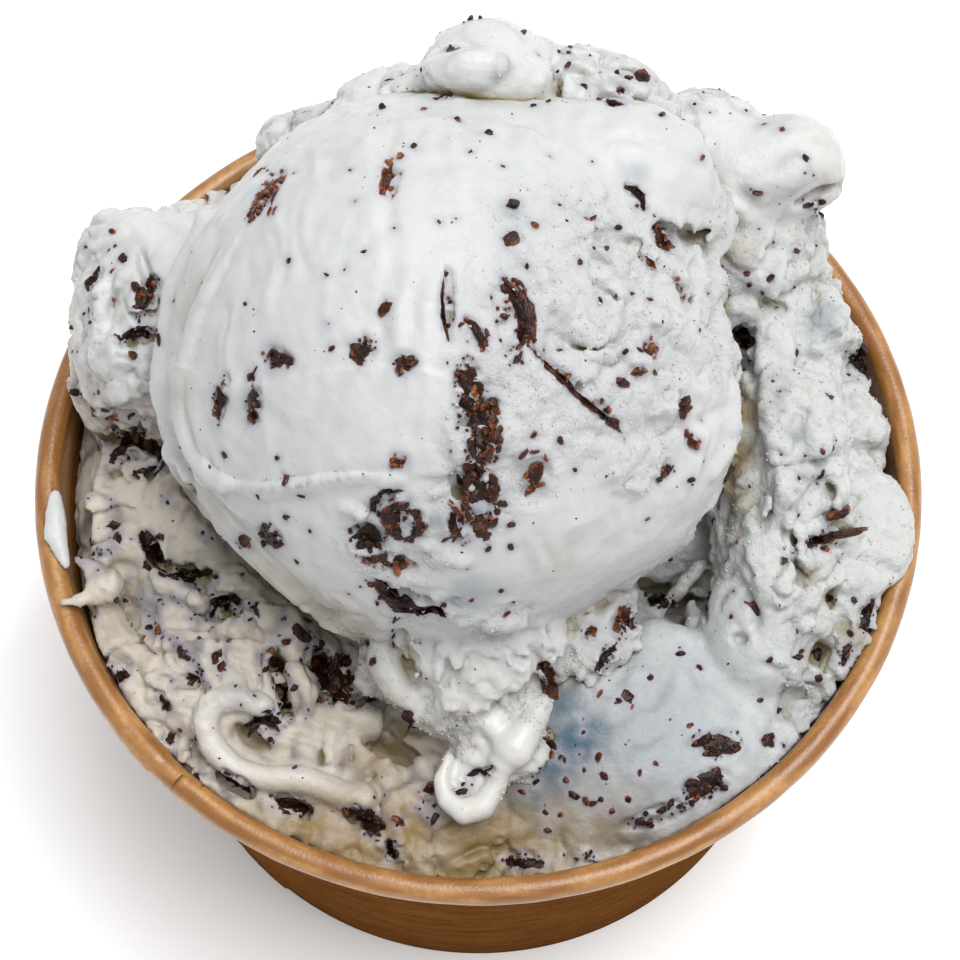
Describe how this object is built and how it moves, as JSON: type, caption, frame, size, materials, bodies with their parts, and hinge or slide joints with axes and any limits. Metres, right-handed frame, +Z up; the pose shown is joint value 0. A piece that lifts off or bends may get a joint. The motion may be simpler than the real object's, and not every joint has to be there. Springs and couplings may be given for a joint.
{
  "type": "stracciatella ice cream in a paper cup",
  "caption": "Kraft paper cup packed to the rim with stracciatella ice cream, with a big round scoop on top, a heap behind it and dark chocolate flakes all through.",
  "frame": {"origin": "middle of the ring on which the cup stands", "axes": "+Z up along the cup's axis; -Y towards the eater, where the scoop's torn chunk hangs; the high heap is at +Y"},
  "size_m": [0.098, 0.098, 0.1053],
  "materials": {
    "kraft_paper": "waxed kraft board, slightly glossy on the rolled rim",
    "kraft_base": "matt kraft board",
    "scoop_ice_cream": "milky white ice cream, soft sheen, with dark chocolate flakes",
    "packed_ice_cream": "softer, wetter ice cream with dark chocolate flakes",
    "dried_ice_cream": "melted drop, set and shiny",
    "dark_chocolate": "dark chocolate, waxy, crumbly at its broken edges"
  },
  "bodies": {
    "root": {"cup_wall": "kraft_paper", "cup_base": "kraft_base", "scoop": "scoop_ice_cream", "ice_cream_bed": "packed_ice_cream", "rim_smear": "dried_ice_cream"}
  },
  "joints": []
}
